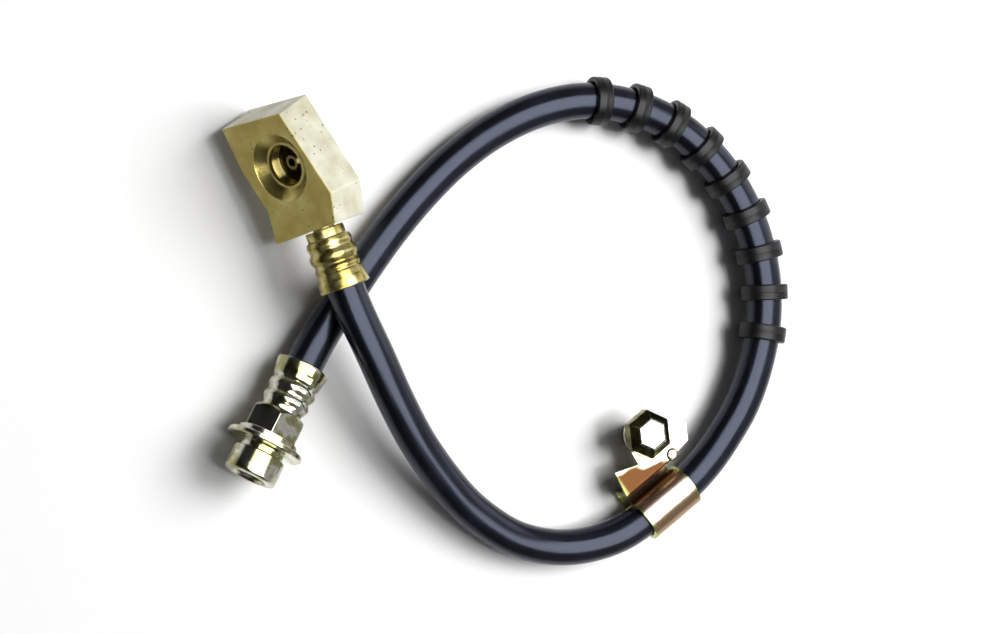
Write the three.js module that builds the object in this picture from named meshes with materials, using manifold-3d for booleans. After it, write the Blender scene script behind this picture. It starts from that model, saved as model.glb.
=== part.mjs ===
// An automotive brake hose, laid down in one open loop: a rubber hose with nine guard rings and a bolted clamp,
// a brass junction block on one end and a steel female end on the other.
// Millimetres, +Z up. The origin lies on the surface that the hose rests on, under the middle of the whole part.
import * as THREE from "three";
import { mergeVertices } from "three/addons/utils/BufferGeometryUtils.js";
import Module from "manifold-3d";

const wasm = await Module();
wasm.setup();

// Fits
const gripGap = 0.25; // round the hose, a nipple's shoulder or a bolt
const seatGap = 0.3; // between two faces that seat on each other

// Hose
const hoseDiameter = 10.5;
const boreDiameter = 3.4;
const hoseSides = 10;
const boreSides = 8;
const hoseSteps = 60;

// The hose's centreline, from its cut end in the brass ferrule to its cut end in the steel ferrule. It leaves the
// brass ferrule over its own other end, comes down to the surface and goes round in one loop.
const route = [
  [-57.9, 21.5, 16.3],
  [-53.3, 8.9, 17.0],
  [-50.7, 2.4, 17.3],
  [-44.9, -9.2, 16.7],
  [-38.2, -22.3, 14.7],
  [-30.9, -34.3, 12.2],
  [-22.5, -44.9, 9.6],
  [-15.7, -52.0, 8.0],
  [-8.1, -57.9, 6.9],
  [-0.7, -62.2, 6.1],
  [7.3, -64.8, 5.6],
  [15.7, -65.8, 5.5],
  [24.1, -65.0, 5.8],
  [32.2, -62.6, 6.3],
  [39.6, -58.5, 6.7],
  [47.0, -53.1, 6.7],
  [54.4, -47.7, 6.7],
  [61.0, -41.0, 6.8],
  [66.5, -33.6, 7.0],
  [71.5, -25.7, 7.0],
  [76.0, -14.7, 7.0],
  [79.0, -0.9, 7.0],
  [78.8, 13.2, 7.0],
  [75.3, 26.8, 7.0],
  [68.7, 39.4, 7.0],
  [59.4, 50.0, 7.0],
  [47.8, 58.0, 7.0],
  [34.4, 62.5, 7.0],
  [20.5, 63.3, 6.9],
  [6.7, 60.2, 6.3],
  [-6.0, 54.1, 5.7],
  [-17.5, 45.8, 5.4],
  [-27.7, 36.0, 5.3],
  [-36.9, 25.3, 5.3],
  [-45.3, 13.9, 5.3],
  [-53.3, 2.3, 6.0],
  [-59.3, -6.9, 7.2],
  [-62.8, -13.0, 8.0],
  [-68.8, -23.9, 9.5],
];
const brassMouth = 1; // the route's point at the brass ferrule's mouth
const steelMouth = route.length - 2;

// Guard rings
const ringCount = 9;
const ringDiameter = 14;
const ringWidth = 4.6;
const ringEdge = 0.5;
const firstRingAt = 216.3; // along the hose, from its brass end
const ringPitch = 12.1;

// Ferrules and nipples
const nippleDiameter = 2.8;
const nippleBore = 1.8;
const nippleLead = 3; // a nipple starts this far inside the ferrule's mouth
const shellWall = 0.6; // under a crimp groove

// Brass ferrule, from its mouth up. A lobe is its middle, its width and its height over the grooves.
const brassShell = 17;
const brassLobes = [
  [6.1, 2.1, 0.4],
  [9.4, 4, 0.75],
  [12.9, 2.4, 0.35],
];
const brassBell = [4.8, 0.35, 1]; // length, height at its top, height at the mouth
const brassNeck = 10.8;
const brassNeckLength = 2.6;
const insertDiameter = 6;
const insertDepth = 5; // how far the insert goes into the block

// Brass junction block, a piece of bar with a port in one face. The bar leans from its ferrule, and its foot is
// sawn square to the ferrule.
const blockAxis = [-0.431, 0.899, -0.04];
const blockRoll = 29; // the port face looks up by this angle
const blockThickness = 12.4;
const blockLength = 34.2;
const blockHalfWidth = 11.4;
const blockOffset = -1.1; // of the block's middle from the hose's axis
const blockBulge = 4.9; // one side stands out by this at its kink
const bulgeAt = 8; // from the foot
const blockDent = 2.4; // the other side falls in by this
const dentAt = 10.4;
const dentEnd = 22.8;
const footSpare = 4; // sawn off the foot
const footTuck = 0.2; // the bulging side ends this far in, at the foot before it is sawn
const footSpread = 1.4; // and the dented side this far out
const farSlant = 3; // the far end is sawn out of square by this across its width
const backSlant = 2; // and by this through its thickness
const blockEdge = 0.3;
const axisDepth = 6.9; // of the hose's axis under the port face, at the foot
const portAt = 19.6; // from the foot
const portAcross = 1.8;
const portMouth = 18.8;
const portStep = 13;
const portThread = 11.2;
const portMouthDepth = 2.2;
const portFloor = 6.6;
const portSeat = [8, 4.2, 1.7]; // the flare seat's foot, tip and height
const portHoleDepth = 9.2;
const passageDiameter = 2.4;

// Steel ferrule
const steelShell = 14.2;
const steelLobes = [
  [7.2, 3.6, 0.75],
  [11, 3, 0.6],
];
const steelBell = [5, 0.6, 1.4];
const steelNeck = 11.6;
const steelNeckLength = 1.2;

// Steel female end
const collarDiameter = 8;
const hexAcross = 14.3;
const hexLength = 8;
const hexEdge = 1.2;
const hexEdgeLength = 1.6;
const stepDiameter = 17;
const stepLength = 0.8;
const flangeDiameter = 21.8;
const flangeThickness = 1.6;
const clipGroove = 12.4;
const clipGrooveWidth = 2.2;
const noseDiameter = 15;
const noseLength = 6.9;
const noseEdge = 1;
const femaleThread = 8.8;
const femaleMouth = 10.2;
const femaleDepth = 8.5;
const femaleSeat = [7, 4.2, 1.6];
const femaleHole = 3;
const steelRoll = 103; // one corner of the hexagon looks up, a little towards the brass end

// Clamp: a strip bent round the hose, with a plate for its bolt
const clampAt = 155.3; // along the hose, from its brass end
const clampLength = 17.5;
const stripThickness = 1.2;
const clampSlot = 2.2; // between the strip's two sides
const plateRise = 1; // the plate's underside over the hose's axis
const boltAlong = 6.3;
const boltAway = 20.5;
const boltDiameter = 7.9;
const boltHexAcross = 12.7;
const boltHeadHeight = 5.4;
const boltTopAcross = 7.4;
const boltTopBevel = 2.2;
const boltReach = 6.4; // below the plate's underside
const earDiameter = 12;
const plateCorner = [-7.6, 17]; // along the hose and away from its axis
const plateNotch = [-0.3, 14.4]; // between the corner and the bolt's ear
const plateTab = [
  [14.2, 16.2],
  [19, 15],
  [16.5, 10.5],
];

const turnSides = 24;

const sawnBrass = new THREE.MeshStandardMaterial({ color: 0xa89b5c, roughness: 0.45, metalness: 0.9 });
const brightBrass = new THREE.MeshStandardMaterial({ color: 0xc2ac4e, roughness: 0.25, metalness: 1 });
const platedSteel = new THREE.MeshStandardMaterial({ color: 0xd6d6bc, roughness: 0.22, metalness: 1 });
const chromateSteel = new THREE.MeshStandardMaterial({ color: 0xcaa16a, roughness: 0.3, metalness: 1 });
const hoseRubber = new THREE.MeshStandardMaterial({ color: 0x2c2f3a, roughness: 0.5, metalness: 0 });
const ringRubber = new THREE.MeshStandardMaterial({ color: 0x343438, roughness: 0.6, metalness: 0 });

const part = new THREE.Group();

// A closed geometry as a solid that can be joined and cut.
function solidOf(geometry) {
  const bare = new THREE.BufferGeometry();
  bare.setAttribute("position", geometry.getAttribute("position").clone());
  bare.setIndex(geometry.index);
  const merged = mergeVertices(bare, 1e-4);
  const vertProperties = merged.getAttribute("position").array;
  const triVerts = new Uint32Array(merged.index.array);
  return new wasm.Manifold(new wasm.Mesh({ numProp: 3, vertProperties, triVerts }));
}

function geometryOf(solid) {
  const mesh = solid.getMesh();
  const geometry = new THREE.BufferGeometry();
  geometry.setAttribute("position", new THREE.BufferAttribute(mesh.vertProperties, 3));
  geometry.setIndex(new THREE.BufferAttribute(mesh.triVerts, 1));
  geometry.computeVertexNormals();
  return geometry;
}

// A turned geometry about +Y, from [radius, y] points that close on themselves or start and end on the axis.
function turned(points, sides = turnSides) {
  return new THREE.LatheGeometry(
    points.map(([radius, y]) => new THREE.Vector2(radius, y)),
    sides,
  );
}

// A turned tube from its outside, listed upwards, and its inside, listed downwards.
function turnedTube(outside, inside) {
  return turned([...outside, ...inside, outside[0]]);
}

function rod(radius, low, high) {
  return turned([
    [0, low],
    [radius, low],
    [radius, high],
    [0, high],
  ]);
}

// A six-sided bar about +Y with one corner towards +Z, which may taper to another size at its top.
function hexBar(across, low, high, topAcross = across) {
  const bar = new THREE.CylinderGeometry(topAcross / Math.sqrt(3), across / Math.sqrt(3), high - low, 6);
  return bar.translate(0, (low + high) / 2, 0);
}

function addPiece(name, geometry, material, frame) {
  const mesh = new THREE.Mesh(geometry, material);
  mesh.name = name;
  mesh.applyMatrix4(frame);
  part.add(mesh);
}

// A frame with +Y along the axis. Its +Z points level to one side, and is then turned up by the roll in degrees.
function frameAlong(origin, axis, roll) {
  const y = axis.clone().normalize();
  const side = new THREE.Vector3(0, 0, 1).cross(y).normalize();
  const up = y.clone().cross(side);
  const angle = THREE.MathUtils.degToRad(roll);
  const z = side.multiplyScalar(Math.cos(angle)).addScaledVector(up, Math.sin(angle));
  return new THREE.Matrix4().makeBasis(y.clone().cross(z), y, z).setPosition(origin);
}

const points = route.map((point) => new THREE.Vector3(...point));
const centreline = new THREE.CatmullRomCurve3(points, false, "centripetal");
centreline.arcLengthDivisions = 2000;

function frameOnHose(distance, roll) {
  const share = distance / centreline.getLength();
  return frameAlong(centreline.getPointAt(share), centreline.getTangentAt(share), roll);
}

// An end fitting stands on its ferrule's mouth, with +Y away from the hose, and takes in the hose's cut end.
function endFitting(mouth, cutEnd, roll) {
  const axis = cutEnd.clone().sub(mouth);
  return { frame: frameAlong(mouth, axis, roll), hoseDepth: axis.length() };
}

const brassEnd = endFitting(points[brassMouth], points[0], blockRoll);
const steelEnd = endFitting(points[steelMouth], points[points.length - 1], steelRoll);

function polygon(diameter, sides) {
  const corners = [];
  for (let i = 0; i < sides; i++) {
    const angle = (2 * Math.PI * i) / sides;
    corners.push(new THREE.Vector2(Math.cos(angle), Math.sin(angle)).multiplyScalar(diameter / 2));
  }
  return new THREE.Shape(corners);
}

// Hose: one moulded tube with its bore.
function addHose() {
  const section = polygon(hoseDiameter, hoseSides);
  section.holes.push(polygon(boreDiameter, boreSides));
  const tube = new THREE.ExtrudeGeometry(section, { steps: hoseSteps, extrudePath: centreline });
  addPiece("hose", tube, hoseRubber, new THREE.Matrix4());
}

function addGuardRings() {
  const inner = hoseDiameter / 2 + gripGap;
  const outer = ringDiameter / 2;
  const half = ringWidth / 2;
  const ring = turnedTube(
    [
      [outer - ringEdge, -half],
      [outer, ringEdge - half],
      [outer, half - ringEdge],
      [outer - ringEdge, half],
    ],
    [
      [inner, half],
      [inner, -half],
    ],
  );
  for (let i = 0; i < ringCount; i++) {
    addPiece(`guard_ring_${i + 1}`, ring, ringRubber, frameOnHose(firstRingAt + i * ringPitch, 0));
  }
}

// A ferrule crimped on the hose: a bell mouth, lobes with grooves between them, and a neck that closes over the
// fitting behind it.
function crimpedShell(bell, lobes, neckDiameter, neckLength, length, hoseDepth, throatDiameter) {
  const inner = hoseDiameter / 2 + gripGap;
  const groove = inner + shellWall;
  const [bellLength, bellTop, bellMouth] = bell;
  const outside = [
    [groove + bellMouth, 0],
    [groove + bellTop, bellLength],
  ];
  for (const [middle, width, height] of lobes) {
    outside.push([groove, middle - width / 2]);
    outside.push([groove + height * 0.75, middle - width / 4]);
    outside.push([groove + height, middle]);
    outside.push([groove + height * 0.75, middle + width / 4]);
    outside.push([groove, middle + width / 2]);
  }
  outside.push([neckDiameter / 2, length - neckLength]);
  outside.push([neckDiameter / 2, length]);
  return turnedTube(outside, [
    [throatDiameter / 2 + gripGap, length],
    [throatDiameter / 2 + gripGap, hoseDepth + seatGap],
    [inner, hoseDepth + seatGap],
    [inner, 0],
  ]);
}

// Both seats of an inverted flare: a hole through a cone that stands up from the port's floor.
function flareSeat([foot, tip, height], hole, floor) {
  return [
    [hole / 2, floor + height],
    [tip / 2, floor + height],
    [foot / 2, floor],
  ];
}

function addBrassEnd() {
  const { frame, hoseDepth } = brassEnd;
  const shell = crimpedShell(
    brassBell,
    brassLobes,
    brassNeck,
    brassNeckLength,
    brassShell,
    hoseDepth,
    insertDiameter,
  );
  addPiece("block_ferrule", shell, brightBrass, frame);

  const insertFoot = hoseDepth + seatGap;
  const insertEnd = brassShell + seatGap + insertDepth;
  const insert = turnedTube(
    [
      [nippleDiameter / 2, nippleLead],
      [nippleDiameter / 2, insertFoot],
      [insertDiameter / 2, insertFoot],
      [insertDiameter / 2, insertEnd],
    ],
    [
      [nippleBore / 2, insertEnd],
      [nippleBore / 2, nippleLead],
    ],
  );
  addPiece("block_insert", insert, brightBrass, frame);
  addPiece("junction_block", junctionBlock(), sawnBrass, frame);
}

// The block is drawn in its own frame, on the foot's middle, and then sawn and drilled in the ferrule's frame.
function junctionBlock() {
  const outline = [
    [blockHalfWidth - footTuck, -footSpare],
    [blockHalfWidth + blockBulge, bulgeAt],
    [blockHalfWidth, blockLength - farSlant / 2],
    [-blockHalfWidth, blockLength + farSlant / 2],
    [-blockHalfWidth, dentEnd],
    [blockDent - blockHalfWidth, dentAt],
    [-blockHalfWidth - footSpread, -footSpare],
  ].map(([across, along]) => new THREE.Vector2(across + blockOffset, along));
  const bar = new THREE.ExtrudeGeometry(new THREE.Shape(outline), {
    depth: blockThickness - 2 * blockEdge,
    bevelThickness: blockEdge,
    bevelSize: blockEdge,
    bevelOffset: -blockEdge,
    bevelSegments: 1,
  });
  bar.translate(0, 0, axisDepth - blockThickness + blockEdge);
  const places = bar.getAttribute("position");
  for (let i = 0; i < places.count; i++) {
    const depth = (axisDepth - places.getZ(i)) / blockThickness;
    if (places.getY(i) > dentEnd + blockEdge) places.setY(i, places.getY(i) + backSlant * depth);
  }

  const passage = passageDiameter / 2;
  const port = turned([
    [0, -portHoleDepth],
    [passage, -portHoleDepth],
    ...flareSeat(portSeat, passageDiameter, -portFloor),
    [portThread / 2, -portFloor],
    [portThread / 2, -portMouthDepth],
    [portStep / 2, -portMouthDepth],
    [portMouth / 2, 0],
    [portMouth / 2, 1],
    [0, 1],
  ]);
  port.rotateX(Math.PI / 2).translate(portAcross, portAt, axisDepth);

  const foot = brassShell + seatGap;
  const footMiddle = new THREE.Vector3(0, foot, 0).applyMatrix4(brassEnd.frame);
  const ownFrame = frameAlong(footMiddle, new THREE.Vector3(...blockAxis), blockRoll);
  const toFerrule = brassEnd.frame.clone().invert().multiply(ownFrame);
  for (const geometry of [bar, port]) geometry.applyMatrix4(toFerrule);

  const socketEnd = foot + insertDepth + seatGap;
  const socket = rod(insertDiameter / 2 + gripGap, foot - 1, socketEnd);
  const drillStart = new THREE.Vector3(0, socketEnd - passage, 0);
  const drillEnd = new THREE.Vector3(portAcross, portAt, axisDepth - portHoleDepth + passage);
  const run = drillEnd.applyMatrix4(toFerrule).sub(drillStart);
  const drill = rod(passage, 0, run.length());
  drill.applyMatrix4(frameAlong(drillStart, run, 0));
  return geometryOf(
    solidOf(bar)
      .trimByPlane([0, 1, 0], foot)
      .subtract(solidOf(port))
      .subtract(solidOf(socket))
      .subtract(solidOf(drill)),
  );
}

function addSteelEnd() {
  const { frame, hoseDepth } = steelEnd;
  const shell = crimpedShell(
    steelBell,
    steelLobes,
    steelNeck,
    steelNeckLength,
    steelShell,
    hoseDepth,
    collarDiameter,
  );
  addPiece("steel_ferrule", shell, platedSteel, frame);

  const hexLow = steelShell + seatGap;
  const hexHigh = hexLow + hexLength;
  const flangeLow = hexHigh + stepLength;
  const grooveLow = flangeLow + flangeThickness;
  const noseLow = grooveLow + clipGrooveWidth;
  const end = noseLow + noseLength;
  const core = turned([
    [0, nippleLead],
    [nippleDiameter / 2, nippleLead],
    [nippleDiameter / 2, hoseDepth + seatGap],
    [collarDiameter / 2, hoseDepth + seatGap],
    [collarDiameter / 2, hexHigh],
    [stepDiameter / 2, hexHigh],
    [stepDiameter / 2, flangeLow],
    [flangeDiameter / 2, flangeLow],
    [flangeDiameter / 2, grooveLow],
    [clipGroove / 2, grooveLow],
    [clipGroove / 2, noseLow],
    [noseDiameter / 2, noseLow],
    [noseDiameter / 2, end - noseEdge],
    [noseDiameter / 2 - noseEdge, end],
    [0, end],
  ]);
  const corner = hexAcross / Math.sqrt(3);
  const barrel = turned([
    [0, hexLow],
    [corner - hexEdge, hexLow],
    [corner, hexLow + hexEdgeLength],
    [corner, hexHigh + stepLength / 2],
    [0, hexHigh + stepLength / 2],
  ]);
  const hex = solidOf(hexBar(hexAcross, hexLow, hexHigh + stepLength / 2)).intersect(solidOf(barrel));
  const femaleEdge = (femaleMouth - femaleThread) / 2;
  const bore = turned([
    [0, nippleLead - 1],
    [nippleBore / 2, nippleLead - 1],
    [nippleBore / 2, hexHigh],
    [femaleHole / 2, hexHigh],
    ...flareSeat(femaleSeat, femaleHole, end - femaleDepth),
    [femaleThread / 2, end - femaleDepth],
    [femaleThread / 2, end - femaleEdge],
    [femaleMouth / 2, end],
    [femaleMouth / 2, end + 1],
    [0, end + 1],
  ]);
  addPiece("steel_fitting", geometryOf(solidOf(core).add(hex).subtract(solidOf(bore))), platedSteel, frame);
}

// The strip's bent section runs across the hose: round it from its free lip, along the surface and up to the plate.
function clampBracket() {
  const inner = hoseDiameter / 2 + gripGap;
  const outer = inner + stripThickness;
  const webNear = -outer - clampSlot;
  const webFar = webNear - stripThickness;
  const plateTop = plateRise + stripThickness;
  const section = new THREE.Shape();
  section.absarc(0, 0, outer, Math.PI, -Math.PI / 2, true);
  section.lineTo(webFar + stripThickness, -outer);
  section.lineTo(webFar, stripThickness - outer);
  section.lineTo(webFar, plateRise);
  section.lineTo(webFar, plateTop);
  section.lineTo(webNear, plateTop - stripThickness / 2);
  section.lineTo(webNear, -inner);
  section.absarc(0, 0, inner, -Math.PI / 2, Math.PI, false);
  const strip = new THREE.ExtrudeGeometry(section, {
    depth: clampLength,
    bevelEnabled: false,
    curveSegments: 16,
  });
  strip.rotateX(Math.PI / 2).translate(0, clampLength / 2, 0);

  const rootAway = -webFar - stripThickness / 2;
  const plateOutline = [
    [-clampLength / 2, rootAway],
    plateCorner,
    plateNotch,
    [boltAlong - earDiameter / 2, boltAway],
    [boltAlong + earDiameter / 2, boltAway],
    ...plateTab,
    [clampLength / 2, rootAway],
  ];
  const plate = flatPlate(plateOutline.map(([along, away]) => new THREE.Vector2(-away, along)));
  const ear = rod(earDiameter / 2, plateRise, plateTop);
  const hole = rod(boltDiameter / 2 + gripGap, plateRise - 1, plateTop + 1);
  for (const piece of [ear, hole]) piece.rotateX(Math.PI / 2).translate(-boltAway, boltAlong, 0);
  return geometryOf(
    solidOf(strip).add(solidOf(plate)).add(solidOf(ear)).subtract(solidOf(hole)),
  );
}

function flatPlate(outline) {
  const plate = new THREE.ExtrudeGeometry(new THREE.Shape(outline), {
    depth: stripThickness,
    bevelEnabled: false,
  });
  return plate.translate(0, 0, plateRise);
}

function addClamp() {
  const frame = frameOnHose(clampAt, 90);
  addPiece("clamp_bracket", clampBracket(), chromateSteel, frame);

  // The bolt is turned about +Y and then stood up on the plate.
  const standUp = new THREE.Matrix4().makeRotationX(Math.PI / 2).setPosition(-boltAway, boltAlong, 0);
  const upright = frame.clone().multiply(standUp);
  const headLow = plateRise + stripThickness + seatGap;
  const headHigh = headLow + boltHeadHeight;
  const bevelLow = headHigh - boltTopBevel;
  const bolt = solidOf(hexBar(boltHexAcross, headLow, bevelLow))
    .add(solidOf(hexBar(boltHexAcross, bevelLow, headHigh, boltTopAcross)))
    .add(solidOf(rod(boltDiameter / 2, plateRise - boltReach, headLow + 1)));
  addPiece("clamp_bolt", geometryOf(bolt), platedSteel, upright);
}

addHose();
addGuardRings();
addBrassEnd();
addSteelEnd();
addClamp();

export default part;
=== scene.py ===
import math
import random

import bmesh
import bpy
from mathutils import Matrix, Vector


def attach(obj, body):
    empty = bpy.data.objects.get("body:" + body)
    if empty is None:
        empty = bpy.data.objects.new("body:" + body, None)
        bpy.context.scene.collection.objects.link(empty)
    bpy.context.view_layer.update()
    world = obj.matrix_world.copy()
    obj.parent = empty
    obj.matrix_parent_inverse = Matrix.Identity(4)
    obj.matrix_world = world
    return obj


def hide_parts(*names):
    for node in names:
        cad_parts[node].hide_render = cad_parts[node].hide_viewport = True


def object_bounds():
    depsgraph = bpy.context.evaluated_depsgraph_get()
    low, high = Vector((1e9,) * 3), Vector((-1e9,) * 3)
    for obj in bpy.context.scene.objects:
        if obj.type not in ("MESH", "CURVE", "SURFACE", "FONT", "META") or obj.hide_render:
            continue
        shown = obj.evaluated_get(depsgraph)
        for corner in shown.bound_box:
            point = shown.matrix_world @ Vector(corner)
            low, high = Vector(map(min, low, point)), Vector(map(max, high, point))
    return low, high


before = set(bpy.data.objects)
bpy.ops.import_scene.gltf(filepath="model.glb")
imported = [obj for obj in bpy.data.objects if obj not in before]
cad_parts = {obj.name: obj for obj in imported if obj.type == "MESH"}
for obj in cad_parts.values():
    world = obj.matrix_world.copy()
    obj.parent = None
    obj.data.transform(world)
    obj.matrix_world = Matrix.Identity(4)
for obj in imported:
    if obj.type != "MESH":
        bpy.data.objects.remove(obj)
cad_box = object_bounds()

MM = 0.001

# Fits
GRIP_GAP = 0.25
SEAT_GAP = 0.3

# Hose. Its route runs from its cut end in the brass ferrule to its cut end in the steel ferrule.
HOSE_DIAMETER = 10.5
HOSE_BORE = 3.4
HOSE_SIDES = 56
BORE_SIDES = 20
HOSE_STATIONS = 300
ROUTE_STEPS = 60
ROUTE = [
    (-57.9, 21.5, 16.3), (-53.3, 8.9, 17.0), (-50.7, 2.4, 17.3), (-44.9, -9.2, 16.7), (-38.2, -22.3, 14.7),
    (-30.9, -34.3, 12.2), (-22.5, -44.9, 9.6), (-15.7, -52.0, 8.0), (-8.1, -57.9, 6.9), (-0.7, -62.2, 6.1),
    (7.3, -64.8, 5.6), (15.7, -65.8, 5.5), (24.1, -65.0, 5.8), (32.2, -62.6, 6.3), (39.6, -58.5, 6.7),
    (47.0, -53.1, 6.7), (54.4, -47.7, 6.7), (61.0, -41.0, 6.8), (66.5, -33.6, 7.0), (71.5, -25.7, 7.0),
    (76.0, -14.7, 7.0), (79.0, -0.9, 7.0), (78.8, 13.2, 7.0), (75.3, 26.8, 7.0), (68.7, 39.4, 7.0),
    (59.4, 50.0, 7.0), (47.8, 58.0, 7.0), (34.4, 62.5, 7.0), (20.5, 63.3, 6.9), (6.7, 60.2, 6.3),
    (-6.0, 54.1, 5.7), (-17.5, 45.8, 5.4), (-27.7, 36.0, 5.3), (-36.9, 25.3, 5.3), (-45.3, 13.9, 5.3),
    (-53.3, 2.3, 6.0), (-59.3, -6.9, 7.2), (-62.8, -13.0, 8.0), (-68.8, -23.9, 9.5),
]

# Guard rings
RING_COUNT = 9
RING_DIAMETER = 14
RING_WIDTH = 4.6
FIRST_RING_AT = 216.3
RING_PITCH = 12.1
GRAIN_SHIFT = 30  # moves the grain on from ring to ring

# Ferrules
SHELL_WALL = 0.6
NIPPLE_DIAMETER = 2.8
NIPPLE_BORE = 1.8
NIPPLE_LEAD = 3
BRASS_SHELL = 17
BRASS_LOBES = [(6.1, 2.3, 0.4), (9.4, 4, 0.75), (12.9, 2.6, 0.35)]  # middle, width, height over the grooves
BRASS_BELL = (4.8, 0.35, 1)  # length, and height over the grooves within and at its mouth
BRASS_NECK = (10.8, 2.6)  # diameter and length
BRASS_JAWS = (6, 0.14)  # count and depth
INSERT_DIAMETER = 6
INSERT_DEPTH = 5
STEEL_SHELL = 14.2
STEEL_LOBES = [(7.2, 3.6, 0.75), (11, 3, 0.6)]
STEEL_BELL = (5, 0.6, 1.4)
STEEL_NECK = (11.6, 1.2)
STEEL_JAWS = (8, 0.2)
COLLAR_DIAMETER = 8

# Junction block. In its frame, +Y runs away from its foot and +Z out of its port.
BLOCK_AXIS = (-0.431, 0.899, -0.04)
BLOCK_ROLL = 29
BLOCK_THICKNESS = 12.4
BLOCK_LENGTH = 34.2
BLOCK_HALF = 11.4
BLOCK_OFFSET = -1.1  # of the block's middle from the hose's axis
BLOCK_BULGE = 4.9
BULGE_AT = 8
BLOCK_DENT = 2.4
DENT_AT = 10.4
DENT_END = 22.8
FOOT_SPARE = 4
FAR_SLANT = 3
BACK_SLANT = 2
AXIS_DEPTH = 6.9  # of the hose's axis below the port's face
PORT_ACROSS = 1.8
PORT_AT = 19.6
PORT_MOUTH = 18.8
PORT_MOUTH_DEPTH = 2.2
PORT_STEP = 13
PORT_THREAD = 11.2
PORT_FLOOR = 6.6
PORT_REACH = 9.2
PASSAGE = 2.4
BLOCK_EDGE = 0.35
SIDE_PITS = 24
FACE_PITS = 3
PIT_SIZES = (0.14, 0.32)
PIT_SPACING = 1.5

# Steel female end
STEEL_ROLL = 103
HEX_ACROSS = 14.3
HEX_LENGTH = 8
HEX_CHAMFER = 1.6
HEX_EDGE = 0.15
STEP_DIAMETER = 17
STEP_LENGTH = 0.8
FLANGE_DIAMETER = 21.8
FLANGE_THICKNESS = 1.6
CLIP_GROOVE = 12.4
CLIP_GROOVE_WIDTH = 2.2
NOSE_DIAMETER = 15
NOSE_LENGTH = 6.9
STEEL_MOUTH = 10.2
STEEL_THREAD = 8.8
STEEL_PORT_DEPTH = 8.5

# Both ports' threads
PORT_PITCH = 1
PORT_GROOVE = 0.42

# Clamp and bolt. Along is along the hose, and away is out from it on the plate's side.
CLAMP_AT = 155.3
CLAMP_LENGTH = 17.5
STRIP = 1.2
STRIP_EDGE = 0.18
CLAMP_SLOT = 2.2
PLATE_RISE = 1
PLATE_LEAF = [(-7.6, 17), (-0.3, 14.4)]  # along, away
PLATE_TAIL = [(14.2, 16.2), (19, 15), (16.5, 10.5)]
BOLT_ALONG = 6.3
BOLT_AWAY = 20.5
BOLT_DIAMETER = 7.9
BOLT_HEX = 12.7
BOLT_HEAD = 5.4
BOLT_TOP = 7.4
BOLT_TOP_BEVEL = 2.2
BOLT_REACH = 6.4
BOLT_PITCH = 1.25
BOLT_GROOVE = 0.65
BOLT_EDGE = 0.35
BOLT_LEAN = 4
BOLT_LIFT = 0.35
EAR_DIAMETER = 12
BUMP_ALONG = 10
BUMP_AWAY = 10.2
BUMP_DIAMETER = 4


# Camera: above the brass end's side, looking nearly straight down
CAMERA_TILT = 20  # off straight down
CAMERA_AWAY = 0.6  # metres
CAMERA_LENS = 75.6
CAMERA_AIM = (-4.4, 0.8, 6)


def make_camera():
    tilt = math.radians(CAMERA_TILT)
    forward = Vector((math.sin(tilt), 0, -math.cos(tilt)))
    right = Vector((math.cos(tilt), 0, math.sin(tilt)))
    target = Vector(CAMERA_AIM) * MM
    camera_data = bpy.data.cameras.new("camera")
    camera_data.lens = CAMERA_LENS
    camera_data.sensor_width = 36
    camera_data.clip_start, camera_data.clip_end = 0.01, 20
    camera = bpy.data.objects.new("camera", camera_data)
    turn = Matrix((right, (0, 1, 0), -forward)).transposed().to_4x4()
    camera.matrix_world = Matrix.Translation(target - CAMERA_AWAY * forward) @ turn
    bpy.context.scene.collection.objects.link(camera)
    bpy.context.scene.camera = camera


# Frames, in millimetres
def frame_along(origin, axis, roll):
    """+Y runs along the axis. +Z points level to one side, and is then turned up by the roll in degrees."""
    y = Vector(axis).normalized()
    side = Vector((0, 0, 1)).cross(y).normalized()
    up = y.cross(side)
    angle = math.radians(roll)
    z = side * math.cos(angle) + up * math.sin(angle)
    made = Matrix((y.cross(z), y, z)).transposed().to_4x4()
    made.translation = origin
    return made


def smooth_route(points, steps):
    """Close points along the hose, on a centripetal curve through the route's own points."""
    padded = [2 * points[0] - points[1], *points, 2 * points[-1] - points[-2]]
    line = []
    for before, start, end, after in zip(padded, padded[1:], padded[2:], padded[3:]):
        gap_in, gap, gap_out = (math.sqrt(d.length) for d in (start - before, end - start, after - end))
        leave = (start - before) / gap_in - (end - before) / (gap_in + gap) + (end - start) / gap
        arrive = (end - start) / gap - (after - start) / (gap + gap_out) + (after - end) / gap_out
        leave, arrive = leave * gap, arrive * gap
        for step in range(steps):
            t = step / steps
            square = 3 * (end - start) - 2 * leave - arrive
            cube = 2 * (start - end) + leave + arrive
            line.append(start + leave * t + square * t * t + cube * t * t * t)
    line.append(points[-1])
    return line


route = [Vector(point) for point in ROUTE]
centreline = smooth_route(route, ROUTE_STEPS)
travelled = [0.0]
for here, there in zip(centreline, centreline[1:]):
    travelled.append(travelled[-1] + (there - here).length)


def on_hose(distance):
    """The point and the direction at a distance along the hose, from its brass end."""
    distance = min(max(distance, 0), travelled[-1] - 1e-6)
    low, high = 0, len(travelled) - 1
    while high - low > 1:
        middle = (low + high) // 2
        low, high = (middle, high) if travelled[middle] <= distance else (low, middle)
    share = (distance - travelled[low]) / (travelled[high] - travelled[low])
    point = centreline[low].lerp(centreline[high], share)
    near, far = max(low - 2, 0), min(high + 2, len(centreline) - 1)
    return point, (centreline[far] - centreline[near]).normalized()


def frame_on_hose(distance, roll):
    """A frame at a distance along the hose, with +Y along it."""
    return frame_along(*on_hose(distance), roll)


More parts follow.
